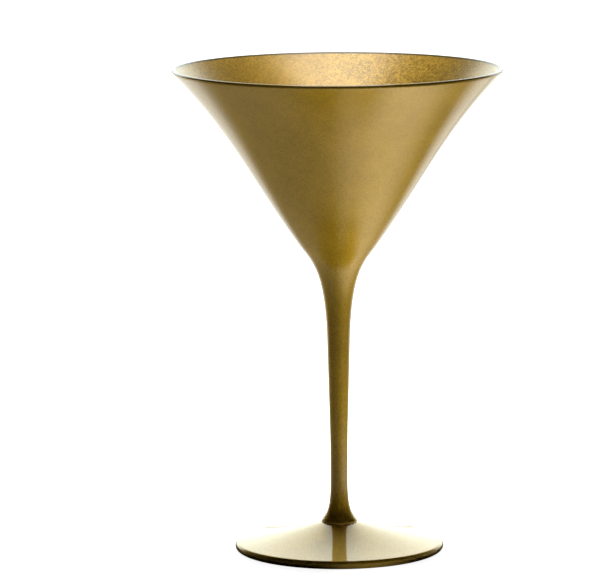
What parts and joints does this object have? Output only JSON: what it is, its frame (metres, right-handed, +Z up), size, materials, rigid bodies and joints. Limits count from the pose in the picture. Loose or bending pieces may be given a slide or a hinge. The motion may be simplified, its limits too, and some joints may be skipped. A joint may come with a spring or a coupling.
{
  "type": "martini glass",
  "caption": "Stemmed martini glass with a cone-shaped bowl, a slim stem and a domed disc foot, finished in metallic gold lacquer inside and out.",
  "frame": {"origin": "centre of the circle that the foot stands on, at the height of the table", "axes": "+Z up along the axis of the stem and bowl, towards the rim; +X and +Y are any two directions across the foot, since the glass is round"},
  "size_m": [0.116, 0.116, 0.172],
  "materials": {
    "foot_glass": "clear pressed glass",
    "stem_glass": "clear pressed glass",
    "bowl_glass": "clear blown glass",
    "foot_under_lacquer": "metallic gold lacquer, satin",
    "foot_top_lacquer": "metallic gold lacquer, high gloss",
    "stem_lacquer": "metallic gold lacquer, high gloss",
    "bowl_outside_lacquer": "metallic gold lacquer, fine flake under a clear gloss",
    "bowl_inside_lacquer": "metallic gold lacquer, bright satin with fine flake"
  },
  "bodies": {
    "root": {"foot_glass": "foot_glass", "stem_glass": "stem_glass", "bowl_glass": "bowl_glass", "foot_under_lacquer": "foot_under_lacquer", "foot_top_lacquer": "foot_top_lacquer", "stem_lacquer": "stem_lacquer", "bowl_outside_lacquer": "bowl_outside_lacquer", "bowl_inside_lacquer": "bowl_inside_lacquer"}
  },
  "joints": []
}
